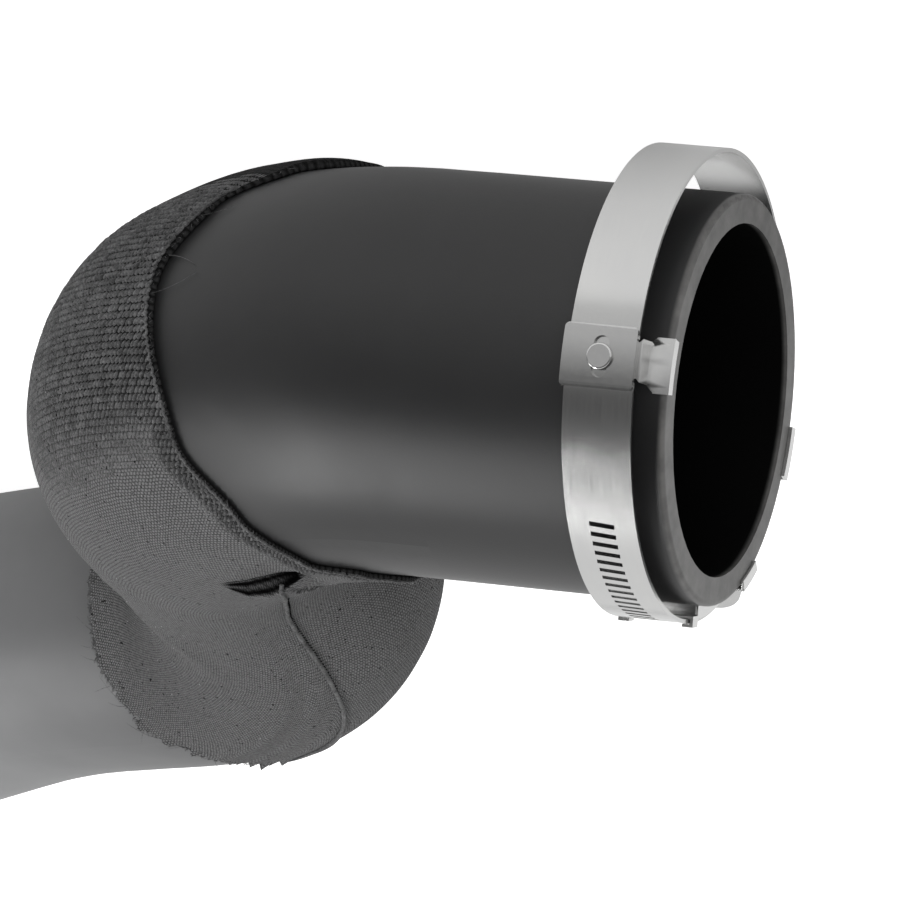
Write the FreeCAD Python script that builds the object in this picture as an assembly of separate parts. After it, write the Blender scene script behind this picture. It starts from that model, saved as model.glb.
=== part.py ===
import FreeCAD, Part
import math
import os

# Charge air hose: a moulded rubber hose with two elbows, a textile sleeve over
# the elbows, and a worm drive clamp carried on its wide end by spring clips.
# All sizes are in millimetres. The origin is the centre of the wide mouth,
# +X points out of that mouth and +Z points up from the floor it lies on.

# Hose
front_outer_r = 35.0
neck_outer_r = 27.7
cuff_outer_r = 30.0
wall = 5.0
lip_round = 1.0
front_run = 54.7
elbow_1_radius = 54.2
elbow_1_turn = 97.0
middle_run = 13.9
elbow_2_radius = 31.5
elbow_2_turn = 80.5
rear_run = 19.5
sweep_radius = 157.0
sweep_turn = 10.8
cuff_approach = 39.1
cuff_run = 30.0
taper_begin_share = 0.482
flare_run = 63.5
ease_run = 20.0
drop_reach = 28.0
section_step = 10.0
trace_step = 1.0

# Textile sleeve
sleeve_gap = 0.3
sleeve_thickness = 1.0
sleeve_past_front = 0.5
sleeve_cut_share = 0.299
sleeve_cut_offset = 16.7
sleeve_cut_normal = (0.567, 0.787, 0.242)
sleeve_rear_share = 0.776
sleeve_rear_normal = (-0.707, -0.707, 0.0)

# Clamp band
band_width = 12.0
band_thickness = 0.7
band_play = 4.6
band_setback = 10.0
band_side_gap = 0.1
slack = 2.1
slack_angle = -55.0
tail_lift = 0.8
head_angle = 163.0
tail_rise_from = 153.0
tail_rise_to = 160.0
tail_tip_angle = 183.0

# Worm drive
housing_angle = 172.0
housing_length = 14.0
housing_sheet = 0.9
thread_bite = 0.3
worm_core_r = 2.9
worm_crest_r = 3.9
worm_pitch = 2.18
worm_turns = 4.5
journal_r = 2.3
journal_clearance = 0.06
head_flats = 7.0
head_length = 5.0
flange_r = 4.0
flange_thickness = 0.8
driver_slot_width = 1.1
driver_slot_depth = 1.6
slot_width = 0.95
slot_length = 4.4
slots_ahead = 2
slots_behind = 33

# Spring clips
clip_sheet = 0.6
clip_width = 9.4
clip_neck = 6.0
clip_fit = 0.02
clip_on_hose = 0.04
clip_riser_root = 3.0
clip_hook_depth = 1.4
clip_a_angle = 28.8
clip_c_angle = 196.5
guide_from = 124.0
guide_to = 153.0
guide_riser_from = 127.5
guide_tab_from = 148.0
guide_tab_to = 160.0
guide_lip_reach = 1.4
guide_lip_turn = 4.0

# Cover plates and studs
plate_thickness = 0.6
plate_width = 10.6
plate_corner_r = 0.8
keyhole_width = 2.7
keyhole_length = 7.0
stud_shank_r = 0.95
stud_head_r = 2.2
stud_head_height = 0.8
stud_foot_r = 1.6
stud_foot_height = 0.35

# Values that follow from the ones above
elbow_1_length = elbow_1_radius * math.radians(elbow_1_turn)
elbow_2_length = elbow_2_radius * math.radians(elbow_2_turn)
sweep_length = sweep_radius * math.radians(sweep_turn)
elbow_1_start = front_run
elbow_1_end = elbow_1_start + elbow_1_length
elbow_2_start = elbow_1_end + middle_run
elbow_2_end = elbow_2_start + elbow_2_length
cuff_start = elbow_2_end + rear_run + sweep_length + cuff_approach
hose_length = cuff_start + cuff_run
bend_start = front_run - ease_run / 2.0
taper_start = elbow_1_start + taper_begin_share * elbow_1_length
taper_end = elbow_2_start - 0.15 * middle_run
flare_start = cuff_start - flare_run
drop_start = elbow_1_start
drop_end = elbow_1_end + drop_reach
band_inner_r = front_outer_r + band_play
band_outer_r = band_inner_r + band_thickness
loop_y = slack * math.cos(math.radians(slack_angle))
loop_z = slack * math.sin(math.radians(slack_angle))
rest_depth = band_outer_r - loop_z
total_drop = rest_depth - cuff_outer_r
band_rear_x = -band_setback - band_width / 2.0
band_front_x = -band_setback + band_width / 2.0
tail_inner_r = band_inner_r + tail_lift
tail_outer_r = band_outer_r + tail_lift
worm_height = tail_outer_r + worm_crest_r - thread_bite
slot_turn = math.degrees(worm_pitch / (tail_outer_r - band_thickness / 2.0))
lead_angle = math.degrees(math.atan(worm_pitch / (2 * math.pi * worm_crest_r)))
base_outer_r = band_inner_r - clip_fit
base_inner_r = base_outer_r - clip_sheet
tab_inner_r = front_outer_r + clip_on_hose
tab_outer_r = tab_inner_r + clip_sheet
plate_inner_r = band_outer_r + clip_fit
plate_outer_r = plate_inner_r + plate_thickness
riser_low_r = front_outer_r - clip_riser_root
bends = [
    (elbow_1_start, elbow_1_end, elbow_1_radius),
    (elbow_2_start, elbow_2_end, -elbow_2_radius),
    (elbow_2_end + rear_run, elbow_2_end + rear_run + sweep_length, sweep_radius),
]

os.makedirs("parts", exist_ok=True)


def vec(x, y, z):
    return FreeCAD.Vector(x, y, z)


def smooth(value, low, high):
    share = min(max((value - low) / (high - low), 0.0), 1.0)
    return share * share * (3.0 - 2.0 * share)


def bend_passed(distance, place):
    # Length of bend passed since a place, where the bend comes on gradually
    share = min(max((distance - place) / ease_run + 0.5, 0.0), 1.0)
    beyond = max(distance - place - ease_run / 2.0, 0.0)
    return ease_run * (share ** 3 - share ** 4 / 2.0) + beyond


def heading(distance):
    # A positive bend turns the hose towards -Y, a negative one back again
    turn = 0.0
    for start, end, radius in bends:
        passed = bend_passed(distance, start) - bend_passed(distance, end)
        turn += passed / radius
    return turn


def trace():
    # The centre line seen from above, summed up over short steps
    x, y = 0.0, 0.0
    points = [(x, y)]
    for index in range(int(hose_length / trace_step) + 2):
        low = index * trace_step
        middle = heading(low + trace_step / 2.0)
        ends = (heading(low), heading(low + trace_step))
        x -= trace_step * (math.cos(ends[0]) + 4 * math.cos(middle) + math.cos(ends[1])) / 6.0
        y -= trace_step * (math.sin(ends[0]) + 4 * math.sin(middle) + math.sin(ends[1])) / 6.0
        points.append((x, y))
    return points


def drop(distance):
    share = min(max((distance - drop_start) / (drop_end - drop_start), 0.0), 1.0)
    return total_drop * share ** 3 * (10.0 - 15.0 * share + 6.0 * share * share)


def centre(distance):
    index = int(distance / trace_step)
    low = index * trace_step
    x, y = traced[index]
    rest = distance - low
    middle = heading(low + rest / 2.0)
    ends = (heading(low), heading(distance))
    x -= rest * (math.cos(ends[0]) + 4 * math.cos(middle) + math.cos(ends[1])) / 6.0
    y -= rest * (math.sin(ends[0]) + 4 * math.sin(middle) + math.sin(ends[1])) / 6.0
    return vec(x, y, -drop(distance))


def direction(distance):
    # The way the hose runs, away from the wide mouth
    reach = 0.01
    low = max(distance - reach, 0.0)
    high = min(distance + reach, hose_length)
    step = centre(high) - centre(low)
    return step.normalize()


def outer_radius(distance):
    radius = front_outer_r
    radius += (neck_outer_r - front_outer_r) * smooth(distance, taper_start, taper_end)
    radius += (cuff_outer_r - neck_outer_r) * smooth(distance, flare_start, cuff_start)
    return radius


def section(distance, radius):
    # A circle across the hose, its seam on top so that all sections line up
    along = direction(distance)
    side = vec(0, 0, 1).cross(along)
    side.normalize()
    top = along.cross(side)
    turn = FreeCAD.Rotation(top, side.negative(), along, "ZXY")
    circle = Part.Wire([Part.makeCircle(radius)])
    circle.Placement = FreeCAD.Placement(centre(distance), turn)
    return circle


def stations(low, high):
    count = max(2, int(math.ceil((high - low) / section_step)))
    return [low + (high - low) * i / count for i in range(count + 1)]


def bent_solid(offset, past=0.0):
    # A loft along the bends, which may run on a little past both of its ends
    places = stations(bend_start, cuff_start)
    if past:
        places = [bend_start - past] + places + [cuff_start + past]
    rings = [section(place, outer_radius(place) + offset) for place in places]
    return Part.makeLoft(rings, True, False)


def straight_tube(start, length, outer_r, inner_r):
    along = direction(start + length / 2.0)
    tube = Part.makeCylinder(outer_r, length, centre(start), along)
    return tube.cut(Part.makeCylinder(inner_r, length, centre(start), along))


def make_hose():
    front = straight_tube(0.0, bend_start, front_outer_r, front_outer_r - wall)
    lip = [e for e in front.Edges if is_lip(e, 0.0, front_outer_r)]
    front = front.makeFillet(lip_round, lip)
    middle = bent_solid(0.0).cut(bent_solid(-wall, lip_round))
    rear = straight_tube(cuff_start, cuff_run, cuff_outer_r, cuff_outer_r - wall)
    lip = [e for e in rear.Edges if is_lip(e, hose_length, cuff_outer_r)]
    rear = rear.makeFillet(lip_round, lip)
    return front.fuse([middle, rear])


def is_lip(edge, distance, radius):
    if not isinstance(edge.Curve, Part.Circle):
        return False
    near = (edge.Curve.Center - centre(distance)).Length < 0.01
    return near and abs(edge.Curve.Radius - radius) < 0.01


def half_space(point, normal):
    # A block that fills the side of a plane its normal points to
    size = 2.0 * hose_length
    block = Part.makeBox(size, size, size, vec(-size / 2.0, -size / 2.0, 0))
    turn = FreeCAD.Rotation(vec(0, 0, 1), normal)
    block.Placement = FreeCAD.Placement(point, turn)
    return block


def make_sleeve():
    sleeve = bent_solid(sleeve_gap + sleeve_thickness)
    sleeve = sleeve.cut(bent_solid(sleeve_gap, sleeve_thickness))
    front = centre(elbow_1_start + sleeve_past_front)
    sleeve = sleeve.cut(half_space(front, vec(1, 0, 0)))
    slant = vec(*sleeve_cut_normal)
    slanted = centre(elbow_1_start + sleeve_cut_share * elbow_1_length)
    sleeve = sleeve.cut(half_space(slanted + slant * sleeve_cut_offset, slant))
    rear = centre(elbow_2_start + sleeve_rear_share * elbow_2_length)
    return sleeve.cut(half_space(rear, vec(*sleeve_rear_normal)))


def around(shape, angle):
    # Places a shape made pointing up, at the loop's own centre, at an angle
    shape = shape.copy()
    shape.rotate(vec(0, 0, 0), vec(1, 0, 0), angle - 90.0)
    shape.translate(vec(0, loop_y, loop_z))
    return shape


def sector(inner_r, outer_r, x_low, x_high, angle_low, angle_high, on_loop=True):
    # A curved plate between two radii and two angles
    points = []
    for radius in (inner_r, outer_r):
        for angle in (angle_low, (angle_low + angle_high) / 2.0, angle_high):
            turn = math.radians(angle)
            points.append(vec(x_low, radius * math.cos(turn), radius * math.sin(turn)))
    edges = [
        Part.Arc(points[0], points[1], points[2]).toShape(),
        Part.makeLine(points[2], points[5]),
        Part.Arc(points[5], points[4], points[3]).toShape(),
        Part.makeLine(points[3], points[0]),
    ]
    plate = Part.Face(Part.Wire(edges)).extrude(vec(x_high - x_low, 0, 0))
    if on_loop:
        plate.translate(vec(0, loop_y, loop_z))
    return plate


def ring_point(radius, angle):
    turn = math.radians(angle)
    return vec(band_rear_x, radius * math.cos(turn), radius * math.sin(turn))


def ring_arc(radius, start, end):
    middle = (start + end) / 2.0
    ends = (ring_point(radius, start), ring_point(radius, middle), ring_point(radius, end))
    return Part.Arc(*ends).toShape()


def slot_cutter(angle, low_r):
    height = tail_outer_r + 1.0 - low_r
    corner = vec(-slot_length / 2.0, -slot_width / 2.0, low_r)
    cutter = Part.makeBox(slot_length, slot_width, height, corner)
    cutter.rotate(vec(0, 0, 0), vec(0, 0, 1), -lead_angle)
    cutter.translate(vec(-band_setback, 0, 0))
    return around(cutter, angle)


def make_band():
    # The strip runs from its head end under the housing, all the way round,
    # and its tail end rises over the head inside the housing
    start = head_angle
    rise = tail_rise_from + 360.0
    risen = tail_rise_to + 360.0
    tip = tail_tip_angle + 360.0
    outline = [
        ring_arc(band_inner_r, start, rise),
        Part.makeLine(ring_point(band_inner_r, rise), ring_point(tail_inner_r, risen)),
        ring_arc(tail_inner_r, risen, tip),
        Part.makeLine(ring_point(tail_inner_r, tip), ring_point(tail_outer_r, tip)),
        ring_arc(tail_outer_r, tip, risen),
        Part.makeLine(ring_point(tail_outer_r, risen), ring_point(band_outer_r, rise)),
        ring_arc(band_outer_r, rise, start),
        Part.makeLine(ring_point(band_outer_r, start), ring_point(band_inner_r, start)),
    ]
    band = Part.Face(Part.Wire(outline)).extrude(vec(band_width, 0, 0))
    band.translate(vec(0, loop_y, loop_z))
    cutters = []
    for index in range(-slots_ahead, slots_behind + 1):
        angle = housing_angle - index * slot_turn
        over_head = angle > head_angle - 2.0
        low_r = tail_inner_r - 0.05 if over_head else band_inner_r - 1.0
        cutters.append(slot_cutter(angle, low_r))
    for angle in (clip_a_angle, clip_c_angle):
        cutters.append(stud_hole(angle))
    return band.cut(cutters)


def stud_hole(angle):
    radius = stud_shank_r + clip_fit
    hole = Part.makeCylinder(radius, 6.0, vec(-band_setback, 0, band_inner_r - 3.0))
    return around(hole, angle)


def hump_outline(half_width, half_shoulder, floor_v, shoulder_v, hump_r, y):
    # Section of the housing across the band: a flat box with a round hump
    corners = [
        vec(-half_width, y, floor_v),
        vec(half_width, y, floor_v),
        vec(half_width, y, shoulder_v),
        vec(hump_r, y, shoulder_v),
        vec(hump_r, y, worm_height),
    ]
    left = [
        vec(-hump_r, y, worm_height),
        vec(-hump_r, y, shoulder_v),
        vec(-half_width, y, shoulder_v),
        vec(-half_width, y, floor_v),
    ]
    edges = [Part.makeLine(a, b) for a, b in zip(corners, corners[1:])]
    crown = vec(0, y, worm_height + hump_r)
    edges.append(Part.Arc(corners[-1], crown, left[0]).toShape())
    edges += [Part.makeLine(a, b) for a, b in zip(left, left[1:])]
    return Part.Face(Part.Wire(edges))


def make_housing():
    half = housing_length / 2.0
    inner_half = band_width / 2.0 + 0.2
    inner_floor = band_inner_r * math.cos(math.asin(half / band_inner_r)) - 0.13
    inner_shoulder = tail_outer_r + 0.2
    inner_r = worm_crest_r + 0.5
    sheet = housing_sheet
    length = vec(0, housing_length, 0)
    outside = hump_outline(
        inner_half + sheet, 0, inner_floor - sheet,
        inner_shoulder + sheet, inner_r + sheet, -half).extrude(length)
    inside = hump_outline(
        inner_half, 0, inner_floor, inner_shoulder, inner_r, -half).extrude(length)
    shell = outside.cut(inside)
    # End walls that hold the screw's journals, open below for the band
    wall_block = Part.makeBox(
        2 * inner_r, housing_length, inner_r + worm_height - inner_shoulder,
        vec(-inner_r, -half, inner_shoulder))
    caps = inside.common(wall_block)
    room = Part.makeBox(
        2 * inner_r + 2, housing_length - 2 * sheet, 20,
        vec(-inner_r - 1, -half + sheet, inner_shoulder - 1))
    caps = caps.cut(room)
    bore = Part.makeCylinder(
        journal_r + journal_clearance, housing_length + 2,
        vec(0, -half - 1, worm_height), vec(0, 1, 0))
    shell = shell.fuse(caps).cut(bore).removeSplitter()
    shell.translate(vec(-band_setback, 0, 0))
    return around(shell, housing_angle)


def worm_thread():
    height = worm_turns * worm_pitch
    helix = Part.makeHelix(worm_pitch, height, worm_core_r)
    root = worm_core_r - 0.3
    corners = [
        vec(root, 0, -0.55),
        vec(worm_crest_r, 0, -0.25),
        vec(worm_crest_r, 0, 0.25),
        vec(root, 0, 0.55),
        vec(root, 0, -0.55),
    ]
    profile = Part.makePolygon(corners)
    return Part.Wire(helix).makePipeShell([profile], True, True)


def make_screw():
    half = housing_length / 2.0
    sheet = housing_sheet
    core_half = half - sheet - 0.2
    along = vec(0, 0, 1)
    thread = worm_thread()
    thread.translate(vec(0, 0, -worm_turns * worm_pitch / 2.0))
    core = Part.makeCylinder(worm_core_r, 2 * core_half, vec(0, 0, -core_half), along)
    screw = core.fuse(thread)
    journal = Part.makeCylinder(journal_r, housing_length + 0.4, vec(0, 0, -half - 0.1), along)
    flange_low = -half - 0.1 - flange_thickness
    flange = Part.makeCylinder(flange_r, flange_thickness, vec(0, 0, flange_low), along)
    head_low = flange_low - head_length
    corner_r = head_flats / 2.0 / math.cos(math.radians(30))
    corners = []
    for index in range(7):
        turn = math.radians(60 * index)
        corners.append(vec(corner_r * math.cos(turn), corner_r * math.sin(turn), head_low))
    head = Part.Face(Part.makePolygon(corners)).extrude(vec(0, 0, head_length))
    # The corners of the head are chamfered by a cone at its outer end
    crown_r = 1.3 * corner_r
    crown_height = 0.4 * head_length
    crown = Part.makeCone(0.83 * corner_r, crown_r, crown_height, vec(0, 0, head_low), along)
    above = vec(0, 0, head_low + crown_height)
    crown = crown.fuse(Part.makeCylinder(crown_r, head_length, above, along))
    head = head.common(crown)
    groove = Part.makeBox(
        2 * head_flats, driver_slot_width, driver_slot_depth,
        vec(-head_flats, -driver_slot_width / 2.0, head_low))
    screw = screw.fuse([journal, flange, head]).cut(groove)
    # Laid along the band's run, with the thread's crest over the middle slot
    screw.Placement = FreeCAD.Placement(
        vec(-band_setback, 0, worm_height), FreeCAD.Rotation(vec(1, 0, 0), -90))
    return around(screw, housing_angle)


def hose_bar():
    start = vec(-front_run, 0, 0)
    return Part.makeCylinder(tab_inner_r, 2 * front_run, start, vec(1, 0, 0))


def mouth_angle(angle):
    # The angle about the hose's own axis of a point on the loop
    turn = math.radians(angle)
    y = loop_y + base_inner_r * math.cos(turn)
    z = loop_z + base_inner_r * math.sin(turn)
    return math.degrees(math.atan2(z, y)) % 360.0


def hook_tab(low, high, riser_x):
    # The part of a clip that lies on the hose and hooks over its end face
    hook_x = clip_on_hose
    tab = sector(tab_inner_r, tab_outer_r, riser_x, hook_x + clip_sheet, low, high, False)
    hook_r = front_outer_r - clip_hook_depth
    hook = sector(hook_r, tab_outer_r, hook_x, hook_x + clip_sheet, low, high, False)
    return tab.fuse(hook)


def make_clip(angle):
    base_half = math.degrees(clip_width / 2.0 / base_outer_r)
    tab_half = math.degrees(clip_width / 2.0 / tab_outer_r)
    riser_x = band_front_x + band_side_gap
    riser_end = riser_x + clip_sheet
    base = sector(
        base_inner_r, base_outer_r, band_rear_x + band_width / 12.0, riser_end,
        angle - base_half, angle + base_half)
    riser = sector(
        riser_low_r, base_outer_r, riser_x, riser_end,
        angle - base_half, angle + base_half)
    riser = riser.cut(hose_bar())
    aim = mouth_angle(angle)
    clip = base.fuse([riser, hook_tab(aim - tab_half, aim + tab_half, riser_x)])
    # The sheet narrows to a neck where it comes out from under the band
    notch_half = (clip_width - clip_neck) / 2.0
    notch_x = riser_x - clip_sheet
    notch_low = riser_low_r - clip_sheet
    notch_height = base_outer_r + clip_sheet - notch_low
    for side in (-1, 1):
        flank = side * (clip_width / 2.0 + clip_sheet)
        inner = side * clip_neck / 2.0
        corners = [
            vec(notch_x, flank, notch_low),
            vec(notch_x, inner, notch_low),
            vec(riser_x, inner, notch_low),
            vec(riser_x + notch_half, side * clip_width / 2.0, notch_low),
            vec(riser_x + notch_half, flank, notch_low),
            vec(notch_x, flank, notch_low),
        ]
        notch = Part.Face(Part.makePolygon(corners)).extrude(vec(0, 0, notch_height))
        clip = clip.cut(around(notch, angle))
    return clip.cut(stud_hole(angle)).removeSplitter()


def make_guide_clip():
    # The clip beside the housing is a guide: its sheet wraps the slotted band
    riser_x = band_front_x + band_side_gap
    riser_end = riser_x + clip_sheet
    rear_x = band_rear_x - band_side_gap - clip_sheet
    guide = sector(base_inner_r, base_outer_r, rear_x, riser_end, guide_from, guide_to)
    riser = sector(
        riser_low_r, base_outer_r, riser_x, riser_end, guide_riser_from, guide_to)
    pieces = [riser.cut(hose_bar())]
    lip_end = guide_from + guide_lip_turn
    lip_inner_r = band_outer_r + band_side_gap
    lip_outer_r = lip_inner_r + clip_sheet
    for x_wall, x_lip in ((rear_x, rear_x), (riser_x, riser_end - guide_lip_reach - clip_sheet)):
        pieces.append(sector(
            base_inner_r, lip_outer_r, x_wall, x_wall + clip_sheet, guide_from, lip_end))
        pieces.append(sector(
            lip_inner_r, lip_outer_r, x_lip, x_lip + guide_lip_reach + clip_sheet,
            guide_from, lip_end))
    pieces.append(hook_tab(guide_tab_from, guide_tab_to, riser_x))
    return guide.fuse(pieces).removeSplitter()


def make_plate(angle):
    half = math.degrees(plate_width / 2.0 / plate_outer_r)
    rear_x = band_rear_x - band_side_gap - plate_thickness
    plate = sector(plate_inner_r, plate_outer_r, rear_x, band_front_x, angle - half, angle + half)
    flange = sector(
        band_inner_r, plate_outer_r, rear_x, rear_x + plate_thickness,
        angle - half, angle + half)
    straight = keyhole_length - keyhole_width
    low = plate_inner_r - 1.0
    hole = Part.makeBox(
        keyhole_width, straight, 3.0,
        vec(-band_setback - keyhole_width / 2.0, -straight / 2.0, low))
    ends = []
    for side in (-1, 1):
        spot = vec(-band_setback, side * straight / 2.0, low)
        ends.append(Part.makeCylinder(keyhole_width / 2.0, 3.0, spot))
    hole = hole.fuse(ends)
    # Only the corners of this block cut the plate: they round its own
    reach = plate_outer_r * math.sin(math.radians(half))
    height = 4.0 * plate_thickness + band_thickness
    block = Part.makeBox(
        band_front_x - rear_x, 2 * reach, height, vec(rear_x, -reach, plate_outer_r + 0.1 - height))
    upright = [e for e in block.Edges if abs(e.BoundBox.ZLength - height) < 1e-3]
    block = block.makeFillet(plate_corner_r, upright)
    plate = plate.fuse(flange).common(around(block, angle))
    return plate.cut(around(hole, angle)).removeSplitter()


def make_stud(angle):
    # A riveted stud: foot inside the clip, shank through the band, domed head
    foot_low = base_inner_r - clip_fit - stud_foot_height
    head_low = plate_outer_r + clip_fit
    spot = vec(-band_setback, 0, foot_low)
    foot = Part.makeCylinder(stud_foot_r, stud_foot_height, spot)
    shank = Part.makeCylinder(stud_shank_r, head_low - foot_low, spot)
    head = Part.makeCylinder(stud_head_r, stud_head_height, vec(-band_setback, 0, head_low))
    rim = [e for e in head.Edges if abs(e.BoundBox.ZMin - head_low - stud_head_height) < 1e-6]
    rim = [e for e in rim if isinstance(e.Curve, Part.Circle)]
    head = head.makeFillet(0.3, rim)
    return around(foot.fuse([shank, head]), angle)


def export(name, shape):
    solids = shape.Solids
    if len(solids) == 1:
        shape = solids[0]
    box = shape.BoundBox
    print(name, "solids", len(solids), "valid", shape.isValid(), "volume", round(shape.Volume, 1),
          "z", round(box.ZMin, 2), round(box.ZMax, 2))
    shape.exportStep("parts/" + name + ".step")


traced = trace()
export("hose", make_hose())
export("textile_sleeve", make_sleeve())
export("clamp_band", make_band())
export("worm_housing", make_housing())
export("worm_screw", make_screw())
export("guide_clip", make_guide_clip())
for name, angle in (("near", clip_a_angle), ("far", clip_c_angle)):
    export("spring_clip_" + name, make_clip(angle))
    export("cover_plate_" + name, make_plate(angle))
    export("clip_stud_" + name, make_stud(angle))

end = centre(hose_length)
out = direction(hose_length - 1.0)
print("rear mouth", round(end.x, 3), round(end.y, 3), round(end.z, 3))
print("rear axis", round(out.x, 6), round(out.y, 6), round(out.z, 6))
print("clamp low", round(-rest_depth, 3), "hose length", round(hose_length, 2))
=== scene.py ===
import math
import random

import bmesh
import bpy
from mathutils import Matrix, Vector, noise


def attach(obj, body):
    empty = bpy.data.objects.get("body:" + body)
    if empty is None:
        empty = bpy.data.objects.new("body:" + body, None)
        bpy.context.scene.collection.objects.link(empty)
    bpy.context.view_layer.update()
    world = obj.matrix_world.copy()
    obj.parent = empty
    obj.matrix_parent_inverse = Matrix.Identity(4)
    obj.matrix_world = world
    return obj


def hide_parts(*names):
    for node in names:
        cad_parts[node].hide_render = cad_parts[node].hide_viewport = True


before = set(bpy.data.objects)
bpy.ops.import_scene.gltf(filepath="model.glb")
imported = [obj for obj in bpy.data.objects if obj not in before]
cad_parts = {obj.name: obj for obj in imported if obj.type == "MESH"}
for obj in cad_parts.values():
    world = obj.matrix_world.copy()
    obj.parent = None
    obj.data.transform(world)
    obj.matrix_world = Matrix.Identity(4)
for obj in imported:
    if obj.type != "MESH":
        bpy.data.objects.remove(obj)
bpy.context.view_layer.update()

BODY = "hose_and_clamp"

# The hose's own sizes in millimetres: the centre line and the radius along it
MM = 0.001
FRONT_R, NECK_R, CUFF_R = 35.0, 27.7, 30.0
FRONT_RUN, MIDDLE_RUN, REAR_RUN, APPROACH_RUN, CUFF_RUN = 54.7, 13.9, 19.5, 39.1, 30.0
ELBOW_1_R, ELBOW_1_TURN = 54.2, math.radians(97.0)
ELBOW_2_R, ELBOW_2_TURN = 31.5, math.radians(80.5)
SWEEP_R, SWEEP_TURN = 157.0, math.radians(10.8)
EASE_RUN, DROP_REACH, FLARE_RUN = 20.0, 28.0, 63.5
LOWEST = 42.02
# The taper starts this share of the way through the first elbow, and is over this
# share of the middle leg before the second one
TAPER_LEAD, TAPER_MARGIN = 0.482, 0.15
E1_START = FRONT_RUN
E1_END = E1_START + ELBOW_1_R * ELBOW_1_TURN
E2_START = E1_END + MIDDLE_RUN
E2_END = E2_START + ELBOW_2_R * ELBOW_2_TURN
SWEEP_START = E2_END + REAR_RUN
SWEEP_END = SWEEP_START + SWEEP_R * SWEEP_TURN
CUFF_START = SWEEP_END + APPROACH_RUN
HOSE_LENGTH = CUFF_START + CUFF_RUN
TAPER_START = E1_START + TAPER_LEAD * (E1_END - E1_START)
TAPER_END = E2_START - TAPER_MARGIN * MIDDLE_RUN
BENDS = [
    (E1_START, E1_END, ELBOW_1_R),
    (E2_START, E2_END, -ELBOW_2_R),
    (SWEEP_START, SWEEP_END, SWEEP_R),
]
STEP = 0.5


def smooth(value, low, high):
    # 0 up to low, 1 from high on, and an S curve between them
    t = min(max((value - low) / (high - low), 0.0), 1.0)
    return t * t * (3.0 - 2.0 * t)


def within(value, rise, fall):
    # 1 between two ramps and 0 outside them
    return smooth(value, *rise) * (1.0 - smooth(value, *fall))


def bend_passed(s, place):
    share = min(max((s - place) / EASE_RUN + 0.5, 0.0), 1.0)
    return EASE_RUN * (share ** 3 - share ** 4 / 2.0) + max(s - place - EASE_RUN / 2.0, 0.0)


def heading(s):
    return sum((bend_passed(s, a) - bend_passed(s, b)) / r for a, b, r in BENDS)


def drop(s):
    t = min(max((s - E1_START) / (E1_END + DROP_REACH - E1_START), 0.0), 1.0)
    return (LOWEST - CUFF_R) * t ** 3 * (10.0 - 15.0 * t + 6.0 * t * t)


def trace_frames():
    # Centre, sideways and upward directions, one set every STEP along the hose
    places = [Vector((0.0, 0.0, 0.0))]
    for i in range(int(HOSE_LENGTH / STEP) + 4):
        a = heading((i + 0.5) * STEP)
        places.append(places[-1] - STEP * Vector((math.cos(a), math.sin(a), 0.0)))
    for i, place in enumerate(places):
        place.z = -drop(i * STEP)
    frames = []
    for i in range(len(places) - 1):
        along = (places[i + 1] - places[max(i - 1, 0)]).normalized()
        side = Vector((0, 0, 1)).cross(along).normalized()
        frames.append((places[i], side, along.cross(side)))
    return frames


FRAMES = trace_frames()


def radius(s):
    r = FRONT_R + (NECK_R - FRONT_R) * smooth(s, TAPER_START, TAPER_END)
    return r + (CUFF_R - NECK_R) * smooth(s, CUFF_START - FLARE_RUN, CUFF_START)


def on_hose(s, phi, lift):
    # A point lift mm over the hose, s mm along it and phi degrees round it, counted
    # from the side that faces -Y at the mouth
    i = int(s / STEP)
    t = s / STEP - i
    (c0, side0, up0), (c1, side1, up1) = FRAMES[i], FRAMES[i + 1]
    a = math.radians(phi)
    out = math.cos(a) * side0.lerp(side1, t) + math.sin(a) * up0.lerp(up1, t)
    return (c0.lerp(c1, t) + (radius(s) + lift) * out) * MM


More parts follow.
